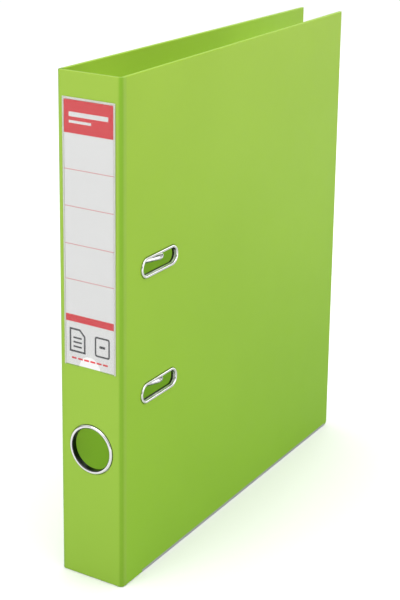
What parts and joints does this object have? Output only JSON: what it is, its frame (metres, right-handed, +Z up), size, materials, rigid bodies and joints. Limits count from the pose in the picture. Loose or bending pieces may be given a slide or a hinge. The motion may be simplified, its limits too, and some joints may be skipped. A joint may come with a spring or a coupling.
{
  "type": "lever arch file",
  "caption": "Slim A4 lever arch file with foil-covered hinged covers, lever-opened ring arches on posts, slotted front cover, spine finger ring and slide-in label.",
  "frame": {"origin": "under the middle of the closed file, on the surface it stands on", "axes": "+Z up along the spine, +X through the thickness towards the front cover, -Y out of the spine"},
  "size_m": [0.0469, 0.2889, 0.318],
  "materials": {
    "cover_foil": "satin lime green polypropylene foil with a fine embossed grain, over greyboard",
    "nickel_plate": "bright nickel-plated steel",
    "zinc_steel": "zinc-plated pressed steel, satin",
    "pocket_film": "clear welded film, glossy",
    "label_paper": "uncoated white label card with a plain printed block and rules"
  },
  "bodies": {
    "back_cover": {"back_board": "cover_foil", "back_shoe": "zinc_steel", "base_plate": "zinc_steel", "rivet_1": "nickel_plate", "rivet_2": "nickel_plate", "rivet_3": "nickel_plate", "rivet_4": "nickel_plate", "post_lower": "nickel_plate", "post_upper": "nickel_plate", "leaf_spring": "zinc_steel", "lever_pin": "zinc_steel"},
    "arch": {"arch_bail": "nickel_plate"},
    "lever": {"lever": "nickel_plate", "roller_pin": "zinc_steel"},
    "roller": {"roller": "zinc_steel"},
    "compressor": {"compressor_bar": "zinc_steel"},
    "catch_lower": {"compressor_catch_lower": "zinc_steel"},
    "catch_upper": {"compressor_catch_upper": "zinc_steel"},
    "spine": {"spine_board": "cover_foil", "back_hinge_foil": "cover_foil", "front_hinge_foil": "cover_foil", "ring_eyelet": "nickel_plate", "ring_washer": "zinc_steel", "label_pocket": "pocket_film"},
    "label": {"label_card": "label_paper"},
    "front_cover": {"front_board": "cover_foil", "front_shoe": "zinc_steel", "slot_eyelet_lower": "nickel_plate", "slot_eyelet_upper": "nickel_plate", "slot_backing_lower": "zinc_steel", "slot_backing_upper": "zinc_steel"}
  },
  "joints": [
    {"name": "spine_hinge", "type": "hinge", "parent": "back_cover", "child": "spine", "pos_m": [-0.02245, -0.14345, 0.159], "axis": [0, 0, -1], "range_deg": [0, 90]},
    {"name": "front_cover_hinge", "type": "hinge", "parent": "spine", "child": "front_cover", "pos_m": [0.02245, -0.14345, 0.159], "axis": [0, 0, -1], "range_deg": [0, 95]},
    {"name": "lever_pivot", "type": "hinge", "parent": "back_cover", "child": "lever", "pos_m": [-0.0158, -0.1014, 0.159], "axis": [0, 0, 1], "range_deg": [0, 80]},
    {"name": "arch_pivot", "type": "hinge", "parent": "back_cover", "child": "arch", "pos_m": [-0.016, -0.11, 0.159], "axis": [0, 0, -1], "range_deg": [0, 36]},
    {"name": "roller_spin", "type": "hinge", "parent": "lever", "child": "roller", "pos_m": [-0.0108, -0.1058, 0.159], "axis": [0, 0, 1], "continuous": true},
    {"name": "compressor_slide", "type": "slide", "parent": "back_cover", "child": "compressor", "axis": [1, 0, 0], "range_m": [0, 0.017]},
    {"name": "catch_lower_slide", "type": "slide", "parent": "compressor", "child": "catch_lower", "axis": [0, 0, 1], "range_m": [0, 0.0015], "stiffness_N_per_m": 300, "springref_m": -0.001},
    {"name": "catch_upper_slide", "type": "slide", "parent": "compressor", "child": "catch_upper", "axis": [0, 0, -1], "range_m": [0, 0.0015], "stiffness_N_per_m": 300, "springref_m": -0.001},
    {"name": "label_slide", "type": "slide", "parent": "spine", "child": "label", "axis": [0, 0, -1], "range_m": [0, 0.035]}
  ],
  "couplings": [
    {"joint": "arch_pivot", "follows": "lever_pivot", "ratio": 0.45}
  ]
}
